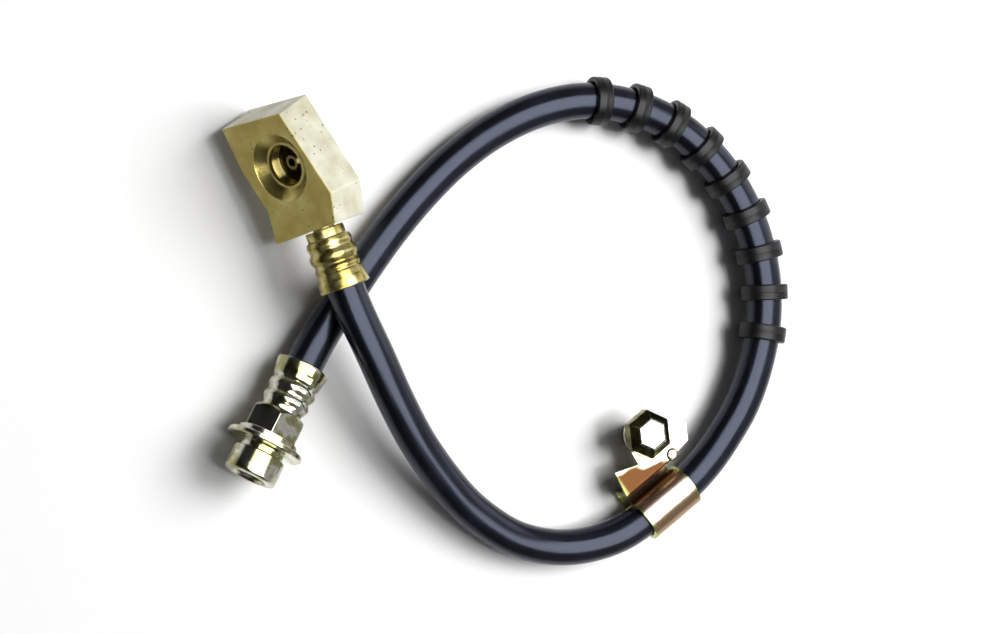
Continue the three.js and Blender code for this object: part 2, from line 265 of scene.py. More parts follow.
brass_frame = frame_along(route[1], route[0] - route[1], BLOCK_ROLL)
brass_depth = (route[0] - route[1]).length
steel_frame = frame_along(route[-2], route[-1] - route[-2], STEEL_ROLL)
steel_depth = (route[-1] - route[-2]).length
foot = BRASS_SHELL + SEAT_GAP
block_frame = frame_along(brass_frame @ Vector((0, foot, 0)), BLOCK_AXIS, BLOCK_ROLL)
clamp_frame = frame_on_hose(CLAMP_AT, 90)


# Materials
def linear(code):
    """An sRGB hex value as linear red, green, blue and alpha."""
    parts = [int(code[i:i + 2], 16) / 255 for i in (1, 3, 5)]
    return [c / 12.92 if c <= 0.04045 else ((c + 0.055) / 1.055) ** 2.4 for c in parts] + [1]


def add_node(tree, kind, inputs=(), stops=(), **settings):
    """Adds a shader node with its settings, its links or values, and a ramp's stops."""
    node = tree.nodes.new("ShaderNode" + kind)
    for name, value in settings.items():
        setattr(node, name, value)
    for socket, value in dict(inputs).items():
        if isinstance(value, bpy.types.NodeSocket):
            tree.links.new(value, node.inputs[socket])
        else:
            node.inputs[socket].default_value = value
    if stops:
        elements = node.color_ramp.elements
        elements.remove(elements[1])
        elements[0].position, elements[0].color = stops[0][0], linear(stops[0][1])
        for position, code in stops[1:]:
            elements.new(position).color = linear(code)
    return node


def new_material(name):
    """A material with an empty tree, and the piece's own millimetres to lay its patterns in."""
    material = bpy.data.materials.new(name)
    material.use_nodes = True
    material.node_tree.nodes.clear()
    own = add_node(material.node_tree, "Attribute", attribute_name="own").outputs["Vector"]
    return material, material.node_tree, own


def finish_surface(tree, inputs):
    """Ends a tree with its surface and its output."""
    surface = add_node(tree, "BsdfPrincipled", inputs)
    add_node(tree, "OutputMaterial", {"Surface": surface.outputs["BSDF"]})


def extruded_epdm():
    """Extruded EPDM hose cover: black with a cool satin sheen, faint draw lines along it and a fine grain."""
    material, tree, own = new_material("extruded_epdm")
    along = add_node(tree, "Mapping", {"Vector": own, "Scale": (1, 1, 0.03)}).outputs["Vector"]
    draw = add_node(tree, "TexNoise", {"Vector": along, "Scale": 1.6, "Detail": 3}).outputs["Fac"]
    cloud = add_node(tree, "TexNoise", {"Vector": own, "Scale": 0.12, "Detail": 4}).outputs["Fac"]
    grain = add_node(tree, "TexNoise", {"Vector": own, "Scale": 3.2, "Detail": 2}).outputs["Fac"]
    colour = add_node(
        tree, "ValToRGB", {"Fac": cloud}, stops=[(0.35, "#101116"), (0.55, "#15171E"), (0.75, "#1E212B")]
    ).outputs["Color"]
    gloss = add_node(
        tree, "MapRange", {"Value": draw, "From Min": 0.3, "From Max": 0.7, "To Min": 0.17, "To Max": 0.27}
    ).outputs["Result"]
    lines = add_node(tree, "Bump", {"Height": draw, "Strength": 0.5, "Distance": 0.00004}).outputs["Normal"]
    bump = add_node(
        tree, "Bump", {"Height": grain, "Strength": 0.5, "Distance": 0.00002, "Normal": lines}
    ).outputs["Normal"]
    finish_surface(
        tree,
        {
            "Base Color": colour,
            "Roughness": gloss,
            "IOR": 1.52,
            "Specular Tint": linear("#C2CCE8"),
            "Specular IOR Level": 0.6,
            "Normal": bump,
        },
    )
    return material


def moulded_rubber():
    """Moulded ring rubber: dark grey-black and matt, with a dry dusty grain that the mould left."""
    material, tree, own = new_material("moulded_rubber")
    grain = add_node(tree, "TexNoise", {"Vector": own, "Scale": 2.5, "Detail": 4}).outputs["Fac"]
    dust = add_node(tree, "TexNoise", {"Vector": own, "Scale": 0.35, "Detail": 5}).outputs["Fac"]
    colour = add_node(
        tree, "ValToRGB", {"Fac": dust}, stops=[(0.35, "#0F0F11"), (0.55, "#151517"), (0.75, "#202023")]
    ).outputs["Color"]
    gloss = add_node(tree, "MapRange", {"Value": grain, "To Min": 0.3, "To Max": 0.44}).outputs["Result"]
    bump = add_node(tree, "Bump", {"Height": grain, "Strength": 0.6, "Distance": 0.00006}).outputs["Normal"]
    finish_surface(
        tree,
        {"Base Color": colour, "Roughness": gloss, "IOR": 1.5, "Specular IOR Level": 0.3, "Normal": bump},
    )
    return material


def sawn_brass():
    """Brass bar, sawn and tumbled: pale and matt on its sides, with tarnish clouds and brown specks of
    painted pit shade.

    The port's face is more metallic, and painted a darker golden as shade. The port is turned: bright, with
    painted shade darkening it lower down."""
    material, tree, own = new_material("sawn_brass")
    cloud = add_node(tree, "TexNoise", {"Vector": own, "Scale": 0.16, "Detail": 5}).outputs["Fac"]
    across = add_node(tree, "Mapping", {"Vector": own, "Scale": (0.25, 4, 1)}).outputs["Vector"]
    saw = add_node(tree, "TexNoise", {"Vector": across, "Scale": 0.9, "Detail": 3}).outputs["Fac"]
    sand = add_node(tree, "TexNoise", {"Vector": own, "Scale": 2.2, "Detail": 3}).outputs["Fac"]
    height = add_node(tree, "SeparateXYZ", {"Vector": own}).outputs["Z"]
    # The port's face: more metallic, and painted a darker golden as shade, since it is turned away from the
    # light.
    port_face = add_node(
        tree, "MapRange", {"Value": height, "From Min": AXIS_DEPTH - 0.5, "From Max": AXIS_DEPTH - 0.1}
    ).outputs["Result"]
    to_port = add_node(
        tree, "Mapping", {"Vector": own, "Location": (-PORT_ACROSS, -PORT_AT, 0), "Scale": (1, 1, 0)}
    ).outputs["Vector"]
    reach = add_node(tree, "VectorMath", {0: to_port}, operation="LENGTH").outputs["Value"]
    rim = PORT_MOUTH / 2
    within = add_node(
        tree,
        "MapRange",
        {"Value": reach, "From Min": rim + 0.05, "From Max": rim + 0.2, "To Min": 1, "To Max": 0},
    ).outputs["Result"]
    above_back = add_node(
        tree, "MapRange", {"Value": height, "From Min": AXIS_DEPTH - 11, "From Max": AXIS_DEPTH - 10}
    ).outputs["Result"]
    bored = add_node(tree, "Math", {0: within, 1: above_back}, operation="MULTIPLY").outputs["Value"]
    # Painted shade inside the port: it grows darker the deeper it goes, towards a dark brown near the floor.
    deep = add_node(
        tree,
        "MapRange",
        {
            "Value": height,
            "From Min": AXIS_DEPTH - 5,
            "From Max": AXIS_DEPTH - 0.6,
            "To Min": 0.8,
            "To Max": 0,
        },
    ).outputs["Result"]
    port_shade = add_node(tree, "Math", {0: bored, 1: deep}, operation="MULTIPLY").outputs["Value"]
    patch = add_node(tree, "TexNoise", {"Vector": own, "Scale": 0.14, "Detail": 2}).outputs["Fac"]
    clean = add_node(
        tree, "MapRange", {"Value": patch, "From Min": 0.48, "From Max": 0.56, "To Min": 0.3, "To Max": 0}
    ).outputs["Result"]
    # Painted shade of small pits: dark brown specks scattered at random, spared in clean patches.
    cells = add_node(tree, "TexVoronoi", {"Vector": own, "Scale": 0.5}).outputs["Distance"]
    spared = add_node(tree, "Math", {0: cells, 1: clean}, operation="ADD").outputs["Value"]
    pit_shade = add_node(tree, "MapRange", {"Value": spared, "From Min": 0.08, "From Max": 0.2}).outputs["Result"]
    pale = add_node(
        tree, "ValToRGB", {"Fac": cloud}, stops=[(0.3, "#C4C0A2"), (0.5, "#D6D3BC"), (0.7, "#E4E2D2")]
    ).outputs["Color"]
    golden = add_node(
        tree, "ValToRGB", {"Fac": cloud}, stops=[(0.3, "#B9A756"), (0.5, "#CAB968"), (0.7, "#D6C97E")]
    ).outputs["Color"]
    # The port's face takes the darker golden: painted shade.
    metal = add_node(tree, "MixRGB", {"Fac": port_face, "Color1": pale, "Color2": golden}).outputs["Color"]
    # The specks' brown is painted pit shade.
    specked = add_node(
        tree, "MixRGB", {"Fac": pit_shade, "Color1": linear("#7A6A3C"), "Color2": metal}
    ).outputs["Color"]
    turned_metal = add_node(
        tree, "MixRGB", {"Fac": bored, "Color1": specked, "Color2": golden}
    ).outputs["Color"]
    # The dark brown is painted shade deep in the port.
    colour = add_node(
        tree, "MixRGB", {"Fac": port_shade, "Color1": turned_metal, "Color2": linear("#3A3016")}
    ).outputs["Color"]
    satin = add_node(tree, "MapRange", {"Value": sand, "To Min": 0.38, "To Max": 0.58}).outputs["Result"]
    shine = add_node(tree, "MapRange", {"Value": bored, "To Min": 1, "To Max": 0.4}).outputs["Result"]
    gloss = add_node(tree, "Math", {0: satin, 1: shine}, operation="MULTIPLY").outputs["Value"]
    bare = add_node(tree, "Math", {0: port_face, 1: bored}, operation="MAXIMUM").outputs["Value"]
    share = add_node(tree, "MapRange", {"Value": bare, "To Min": 0.35, "To Max": 0.65}).outputs["Result"]
    lines = add_node(tree, "Bump", {"Height": saw, "Strength": 0.5, "Distance": 0.00005}).outputs["Normal"]
    grit = add_node(
        tree, "Bump", {"Height": sand, "Strength": 0.5, "Distance": 0.00006, "Normal": lines}
    ).outputs["Normal"]
    finish_surface(tree, {"Base Color": colour, "Metallic": share, "Roughness": gloss, "Normal": grit})
    return material


def turned_brass():
    """Turned brass, crimped: golden and bright, with fine tool marks round it and a few dull clouds."""
    material, tree, own = new_material("turned_brass")
    round_about = add_node(tree, "Mapping", {"Vector": own, "Scale": (0.1, 5, 0.1)}).outputs["Vector"]
    marks = add_node(tree, "TexNoise", {"Vector": round_about, "Scale": 1.2, "Detail": 3}).outputs["Fac"]
    cloud = add_node(tree, "TexNoise", {"Vector": own, "Scale": 0.3, "Detail": 4}).outputs["Fac"]
    colour = add_node(
        tree, "ValToRGB", {"Fac": cloud}, stops=[(0.34, "#8E7F3E"), (0.5, "#B8A968"), (0.68, "#D8CE98")]
    ).outputs["Color"]
    gloss = add_node(tree, "MapRange", {"Value": cloud, "To Min": 0.18, "To Max": 0.38}).outputs["Result"]
    bump = add_node(tree, "Bump", {"Height": marks, "Strength": 0.35, "Distance": 0.00003}).outputs["Normal"]
    finish_surface(tree, {"Base Color": colour, "Metallic": 1, "Roughness": gloss, "Normal": bump})
    return material


def zinc_plated_steel():
    """Bright zinc plate on turned steel: shiny silver with pale olive stains, over faint tool marks."""
    material, tree, own = new_material("zinc_plated_steel")
    round_about = add_node(tree, "Mapping", {"Vector": own, "Scale": (0.15, 4, 0.15)}).outputs["Vector"]
    marks = add_node(tree, "TexNoise", {"Vector": round_about, "Scale": 1.1, "Detail": 3}).outputs["Fac"]
    cloud = add_node(tree, "TexNoise", {"Vector": own, "Scale": 0.2, "Detail": 3}).outputs["Fac"]
    colour = add_node(
        tree,
        "ValToRGB",
        {"Fac": cloud},
        stops=[(0.36, "#A09C72"), (0.46, "#B8B488"), (0.54, "#E0E0D6"), (0.74, "#BDB48E")],
    ).outputs["Color"]
    gloss = add_node(tree, "MapRange", {"Value": cloud, "To Min": 0.1, "To Max": 0.24}).outputs["Result"]
    bump = add_node(tree, "Bump", {"Height": marks, "Strength": 0.3, "Distance": 0.00003}).outputs["Normal"]
    finish_surface(tree, {"Base Color": colour, "Metallic": 1, "Roughness": gloss, "Normal": bump})
    return material


def olive_steel_lit_top():
    """Olive-chromated bolt steel: a dark, clouded olive film, which also stands in for shade on the head's
    sides, and painted pale on top of the head as a highlight.
    """
    material, tree, own = new_material("olive_steel_lit_top")
    cloud = add_node(tree, "TexNoise", {"Vector": own, "Scale": 0.35, "Detail": 4}).outputs["Fac"]
    fine = add_node(tree, "TexNoise", {"Vector": own, "Scale": 1.8, "Detail": 3}).outputs["Fac"]
    film = add_node(
        tree, "ValToRGB", {"Fac": cloud}, stops=[(0.36, "#46462A"), (0.5, "#65633A"), (0.64, "#8E8A52")]
    ).outputs["Color"]
    height = add_node(tree, "SeparateXYZ", {"Vector": own}).outputs["Z"]
    # Painted highlight: the top of the head is painted pale where it faces the light, with a ragged edge.
    ragged_edge = add_node(
        tree, "MapRange", {"Value": fine, "From Min": 0.3, "From Max": 0.7, "To Min": -0.25, "To Max": 0.25}
    ).outputs["Result"]
    lit_top_from = add_node(tree, "Math", {0: height, 1: ragged_edge}, operation="ADD").outputs["Value"]
    top = PLATE_RISE + STRIP + SEAT_GAP + BOLT_HEAD
    lit_top = add_node(
        tree, "MapRange", {"Value": lit_top_from, "From Min": top - 0.5, "From Max": top - 0.2}
    ).outputs["Result"]
    # The pale is a painted highlight on the head's top.
    colour = add_node(
        tree, "MixRGB", {"Fac": lit_top, "Color1": film, "Color2": linear("#ECECE4")}
    ).outputs["Color"]
    gloss = add_node(tree, "MapRange", {"Value": fine, "To Min": 0.12, "To Max": 0.24}).outputs["Result"]
    bump = add_node(tree, "Bump", {"Height": fine, "Strength": 0.25, "Distance": 0.00004}).outputs["Normal"]
    finish_surface(tree, {"Base Color": colour, "Metallic": 1, "Roughness": gloss, "Normal": bump})
    return material


def chromate_steel():
    """Yellow-chromated steel strip: a thin film in bands across the strip, as it drained off in the bath.

    It is pale on the land and on top of the bend, a painted highlight where they face the light, copper brown
    beside them, darkest brown in the slot as painted shade, and yellow-green at the lips."""
    material, tree, own = new_material("chromate_steel")
    stretched = add_node(tree, "Mapping", {"Vector": own, "Scale": (0.3, 0.1, 0.3)}).outputs["Vector"]
    film = add_node(tree, "TexNoise", {"Vector": stretched, "Scale": 1, "Detail": 2}).outputs["Fac"]
    fine = add_node(tree, "TexNoise", {"Vector": own, "Scale": 1.4, "Detail": 3}).outputs["Fac"]
    wander = add_node(
        tree, "MapRange", {"Value": film, "From Min": 0.3, "From Max": 0.7, "To Min": -0.9, "To Max": 0.9}
    ).outputs["Result"]
    axes = add_node(tree, "SeparateXYZ", {"Vector": own}).outputs
    band = add_node(tree, "Math", {0: axes["X"], 1: wander}, operation="ADD").outputs["Value"]
    share = add_node(tree, "MapRange", {"Value": band, "From Min": -10, "From Max": 8}).outputs["Result"]
    # Painted highlight: the band on top of the bend, from 0.38 to 0.56, is pale where it faces the light.
    bend = add_node(
        tree,
        "ValToRGB",
        {"Fac": share},
        stops=[
            # Painted shade: the darkest browns, up to 0.12, lie on the riser and at the foot of the slot; the
            # leaf beyond keeps the first dark brown.
            (0.0, "#4E331D"), (0.07, "#5C3A20"), (0.12, "#442A19"), (0.18, "#C6C07C"), (0.24, "#DDB49A"),
            (0.32, "#D2A68C"), (0.38, "#EDE6D2"), (0.56, "#F0EADA"), (0.64, "#BE9C7E"), (0.84, "#A88E6A"),
            (0.94, "#C4C27A"),
        ],
    ).outputs["Color"]
    from_middle = add_node(tree, "Math", {0: axes["Y"]}, operation="ABSOLUTE").outputs["Value"]
    lip = add_node(
        tree, "MapRange", {"Value": from_middle, "From Min": 7.3, "From Max": 8.5, "To Max": 0.75}
    ).outputs["Result"]
    lipped = add_node(
        tree, "MixRGB", {"Fac": lip, "Color1": bend, "Color2": linear("#A8AC66")}
    ).outputs["Color"]
    from_leaf = add_node(
        tree, "VectorMath", {0: own, 1: (-1, 0.45, 0)}, operation="DOT_PRODUCT"
    ).outputs["Value"]
    edge = add_node(tree, "Math", {0: from_leaf, 1: wander}, operation="ADD").outputs["Value"]
    land = add_node(tree, "MapRange", {"Value": edge, "From Min": 12.6, "From Max": 14.2}).outputs["Result"]
    # Painted highlight: the land is painted pale, as its flat faces the light.
    pale = add_node(
        tree, "ValToRGB", {"Fac": film}, stops=[(0.35, "#DEDCB4"), (0.5, "#EFECDC"), (0.65, "#E6DCC0")]
    ).outputs["Color"]
    colour = add_node(tree, "MixRGB", {"Fac": land, "Color1": lipped, "Color2": pale}).outputs["Color"]
    gloss = add_node(tree, "MapRange", {"Value": fine, "To Min": 0.2, "To Max": 0.3}).outputs["Result"]
    bump = add_node(tree, "Bump", {"Height": fine, "Strength": 0.08, "Distance": 0.00004}).outputs["Normal"]
    finish_surface(tree, {"Base Color": colour, "Metallic": 1, "Roughness": gloss, "Normal": bump})
    return material


# Shapes, each a bmesh in millimetres
def turned(profile, steps=96):
    """Turns a profile of (radius, height) points about +Y. It runs from axis to axis, or closes on itself."""
    shape = bmesh.new()
    corners = [shape.verts.new((radius, height, 0)) for radius, height in profile]
    sides = [shape.edges.new(pair) for pair in zip(corners, corners[1:])]
    if profile[0][0] > 0:
        sides.append(shape.edges.new((corners[-1], corners[0])))
    bmesh.ops.spin(
        shape, geom=corners + sides, cent=(0, 0, 0), axis=(0, 1, 0), angle=math.tau, steps=steps,
        use_merge=True,
    )
    bmesh.ops.remove_doubles(shape, verts=shape.verts, dist=1e-4)
    bmesh.ops.recalc_face_normals(shape, faces=shape.faces)
    return shape


def prism(outline, low, high):
    """Draws an outline in the XY plane up along Z."""
    shape = bmesh.new()
    base = shape.faces.new([shape.verts.new((x, y, low)) for x, y in outline])
    grown = bmesh.ops.extrude_face_region(shape, geom=[base])["geom"]
    top = [item for item in grown if isinstance(item, bmesh.types.BMVert)]
    bmesh.ops.translate(shape, verts=top, vec=(0, 0, high - low))
    bmesh.ops.recalc_face_normals(shape, faces=shape.faces)
    return shape


def hexagon(across):
    """A hexagon's outline with a corner towards +Y."""
    reach = across / math.sqrt(3)
    return [(reach * math.sin(k * math.pi / 3), reach * math.cos(k * math.pi / 3)) for k in range(6)]


def arc(centre, radius, start, end, count):
    """Points on an arc, from a start to an end angle in degrees."""
    angles = [math.radians(start + (end - start) * i / count) for i in range(count + 1)]
    return [(centre[0] + radius * math.cos(a), centre[1] + radius * math.sin(a)) for a in angles]


def softened(shape, width, segments=2, least=25):
    """Rounds every edge that turns by more than the least angle."""
    sharp = [edge for edge in shape.edges if edge.calc_face_angle(0) > math.radians(least)]
    bmesh.ops.bevel(
        shape, geom=sharp, offset=width, offset_type="OFFSET", affect="EDGES", segments=segments, profile=0.5,
        material=-1, clamp_overlap=True,
    )
    return shape


def combined(body, tool, operation):
    """Joins, cuts or meets two shapes."""
    objects = []
    for shape in (body, tool):
        mesh = bpy.data.meshes.new("work")
        shape.to_mesh(mesh)
        shape.free()
        objects.append(bpy.data.objects.new("work", mesh))
        bpy.context.scene.collection.objects.link(objects[-1])
    modifier = objects[0].modifiers.new("work", "BOOLEAN")
    modifier.operation, modifier.solver, modifier.object = operation, "EXACT", objects[1]
    result = bmesh.new()
    result.from_object(objects[0], bpy.context.evaluated_depsgraph_get())
    for work in objects:
        mesh = work.data
        bpy.data.objects.remove(work)
        bpy.data.meshes.remove(mesh)
    return result


def moved(shape, matrix):
    """Moves a shape by a matrix, and gives it back."""
    shape.transform(matrix)
    return shape


def thread_side(minor, groove, pitch, low, high):
    """A screw thread's side from a low to a high end, as (radius, height) points."""
    points = []
    while low + pitch < high:
        points += [(minor, low), (minor + groove, low + pitch / 2)]
        low += pitch
    return [*points, (minor, low)]


Y_TO_Z = Matrix.Rotation(math.radians(90), 4, "X")
Z_TO_Y = Matrix.Rotation(math.radians(-90), 4, "X")
CREASE = math.radians(35)


def place(shape, name, material, at, slot, *nodes, shift=(0, 0, 0), flats=False):
    """Makes the shape a piece of the part: puts it in its frame, hangs it on the root body and hides the CAD
    nodes that it replaces. The slot is not used.
    """
    layers = shape.verts.layers.float_vector
    if layers.get("own") is None:
        own = layers.new("own")
        for vert in shape.verts:
            vert[own] = vert.co + Vector(shift)
    for face in shape.faces:
        face.smooth = True
    for edge in shape.edges:
        edge.smooth = edge.calc_face_angle(0) < CREASE
    shape.transform(Matrix.Scale(MM, 4) @ at)
    mesh = bpy.data.meshes.new(name)
    shape.to_mesh(mesh)
    shape.free()
    mesh.materials.append(material)
    piece = bpy.data.objects.new(name, mesh)
    bpy.context.scene.collection.objects.link(piece)
    if flats:
        piece.modifiers.new("flat_faces", "WEIGHTED_NORMAL").keep_sharp = True
    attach(piece, "root")
    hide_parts(*nodes)
    return piece


make_camera()


# Hose
def hose_tube():
    """Draws the hose's two rings along its centreline. Its patterns lie as on the straight hose."""
    shape = bmesh.new()
    straight = shape.verts.layers.float_vector.new("own")
    start, ahead = on_hose(0)
    turn = frame_along(start, ahead, 0) @ Z_TO_Y
    rings = []
    for diameter, sides in ((HOSE_DIAMETER, HOSE_SIDES), (HOSE_BORE, BORE_SIDES)):
        made = bmesh.ops.create_circle(shape, segments=sides, radius=diameter / 2)["verts"]
        for vert in made:
            vert[straight] = vert.co
        bmesh.ops.transform(shape, matrix=turn, verts=made)
        rings.append([edge for edge in shape.edges if edge.verts[0] in made])
    first = list(rings)
    for station in range(1, HOSE_STATIONS + 1):
        distance = travelled[-1] * station / HOSE_STATIONS
        point, direction = on_hose(distance)
        bend = ahead.rotation_difference(direction).to_matrix().to_4x4()
        move = Matrix.Translation(point) @ bend @ Matrix.Translation(-start)
        drawn = []
        for ring in rings:
            grown = bmesh.ops.extrude_edge_only(shape, edges=ring)["geom"]
            verts = [item for item in grown if isinstance(item, bmesh.types.BMVert)]
            bmesh.ops.transform(shape, matrix=move, verts=verts)
            for vert in verts:
                vert[straight][2] = distance
            new = set(verts)
            edges = [item for item in grown if isinstance(item, bmesh.types.BMEdge)]
            drawn.append([edge for edge in edges if edge.verts[0] in new and edge.verts[1] in new])
        rings, start, ahead = drawn, point, direction
    bmesh.ops.bridge_loops(shape, edges=first[0] + first[1])
    bmesh.ops.bridge_loops(shape, edges=rings[0] + rings[1])
    bmesh.ops.recalc_face_normals(shape, faces=shape.faces)
    return shape


hose = place(hose_tube(), "brake_hose", extruded_epdm(), Matrix.Identity(4), "hose_rubber", "hose")


# Guard rings
def guard_ring():
    """A moulded ring: rounded shoulders, a faint mould seam round its middle and a close bore."""
    inner, outer, half = HOSE_DIAMETER / 2 + GRIP_GAP, RING_DIAMETER / 2, RING_WIDTH / 2
    shoulder, seam, seam_half, lead = 0.45, 0.06, 0.15, 0.2
    low = arc((outer - shoulder, shoulder - half), shoulder, -90, 0, 6)
    high = arc((outer - shoulder, half - shoulder), shoulder, 0, 90, 6)
    middle = [(outer, -seam_half), (outer + seam, 0), (outer, seam_half)]
    lip = [(inner + lead, half), (inner, half - lead), (inner, lead - half), (inner + lead, -half)]
    return turned([*low, *middle, *high, *lip])


rubber = moulded_rubber()
for i in range(RING_COUNT):
    spot = frame_on_hose(FIRST_RING_AT + i * RING_PITCH, 0)
    name = f"guard_ring_{i + 1}"
    shift = (0, GRAIN_SHIFT * i, 0)
    place(guard_ring(), name + "_moulded", rubber, spot, "ring_rubber", name, shift=shift)


# Ferrules
def crimped_shell(bell, lobes, neck, jaws, length, depth, throat):
    """A crimped shell: a bell mouth, soft lobes with jaw flats, and a neck closed over the fitting."""
    inner = HOSE_DIAMETER / 2 + GRIP_GAP
    groove = inner + SHELL_WALL
    bell_length, bell_top, bell_mouth = bell
    neck_radius, neck_length = neck[0] / 2, neck[1]
    jaw_count, jaw_depth = jaws
    last = lobes[-1][0] + lobes[-1][1] / 2
    flare, heel, fullness = 1.4, 0.8, 1.3

    def radius(height):
        if height < bell_length:
            return groove + bell_mouth + (bell_top - bell_mouth) * (height / bell_length) ** flare
        extra = bell_top * max(0, 1 - (height - bell_length) / heel) ** 2
        for middle, width, rise in lobes:
            reach = abs(height - middle) / (width / 2)
            if reach < 1:
                extra += rise * math.cos(reach * math.pi / 2) ** fullness
        if height > last:
            share = min(1, (height - last) / (length - neck_length - last))
            extra += (neck_radius - groove) * (3 * share**2 - 2 * share**3)
        return groove + extra

    edge, soft, spacing = 0.3, 0.1, 0.22
    bore = throat / 2 + GRIP_GAP
    count = round((length - 2 * edge) / spacing)
    heights = [edge + (length - 2 * edge) * i / count for i in range(count + 1)]
    outside = [(radius(h), h) for h in heights]
    mouth = [(inner + soft, 0), (radius(0) - edge, 0), (radius(0) - edge * 0.3, edge * 0.3)]
    top = [(neck_radius - soft, length - soft), (neck_radius - edge, length), (bore, length)]
    inside = [(bore, depth + SEAT_GAP), (inner, depth + SEAT_GAP), (inner, soft)]
    shape = turned([*mouth, *outside, *top, *inside], 128)
    for vert in shape.verts:
        spread = math.hypot(vert.co.x, vert.co.z)
        if spread < groove - 0.05 or not bell_length * 0.6 < vert.co.y < length - neck_length:
            continue
        around = math.atan2(vert.co.x, vert.co.z)
        press = jaw_depth * (0.5 - 0.5 * math.cos(around * jaw_count)) ** 2
        vert.co.x *= 1 - press / spread
        vert.co.z *= 1 - press / spread
    return shape


def hollow_insert():
    """The block's hollow tail: a nipple in the hose, and a thicker end that sits in the block."""
    low, high, chamfer = brass_depth + SEAT_GAP, foot + INSERT_DEPTH, 0.3
    bore, nipple, radius = NIPPLE_BORE / 2, NIPPLE_DIAMETER / 2, INSERT_DIAMETER / 2
    profile = [
        (bore, NIPPLE_LEAD), (nipple, NIPPLE_LEAD), (nipple, low), (radius, low), (radius, high - chamfer),
        (radius - chamfer, high), (bore, high),
    ]
    return turned(profile, 48)


bright_brass = turned_brass()
place(
    crimped_shell(
        BRASS_BELL, BRASS_LOBES, BRASS_NECK, BRASS_JAWS, BRASS_SHELL, brass_depth, INSERT_DIAMETER
    ),
    "brass_ferrule_crimped", bright_brass, brass_frame, "bright_brass", "block_ferrule",
)
place(hollow_insert(), "insert_turned", bright_brass, brass_frame, "bright_brass", "block_insert")


# Junction block
def port_cutter():
    """What the port's drills and tap take out: a wide countersink, a step, the thread and the flare seat."""
    mouth, step, thread = PORT_MOUTH / 2, PORT_STEP / 2, PORT_THREAD / 2
    seat_top, seat_edge, lead, chamfer, over = 1.7 - PORT_FLOOR, 0.1, 0.2, 0.25, 1
    profile = [
        (0, -PORT_REACH), (PASSAGE / 2, -PORT_REACH), (PASSAGE / 2, seat_top), (2, seat_top),
        (2 + seat_edge, seat_top - seat_edge), (4, -PORT_FLOOR), (thread, -PORT_FLOOR),
    ]
    profile += thread_side(thread, PORT_GROOVE, PORT_PITCH, 0.5 - PORT_FLOOR, -PORT_MOUTH_DEPTH - lead)
    profile += [
        (thread + lead, -PORT_MOUTH_DEPTH), (step, -PORT_MOUTH_DEPTH), (mouth - chamfer, -chamfer),
        (mouth, 0), (mouth + 0.1, over), (0, over),
    ]
    return turned(profile, 128)


def pits(spots):
    """Small round voids left by the bar's casting, as one cutter. None touches another."""
    chance = random.Random(5)
    shape = bmesh.new()
    kept = []
    for spot in map(Vector, spots):
        if any((spot - other).length < PIT_SPACING for other in kept):
            continue
        kept.append(spot)
        size = chance.uniform(*PIT_SIZES)
        grow = Matrix.Diagonal((size, size * chance.uniform(0.8, 1.6), size, 1))
        bmesh.ops.create_icosphere(shape, subdivisions=1, radius=1, matrix=Matrix.Translation(spot) @ grow)
    return shape


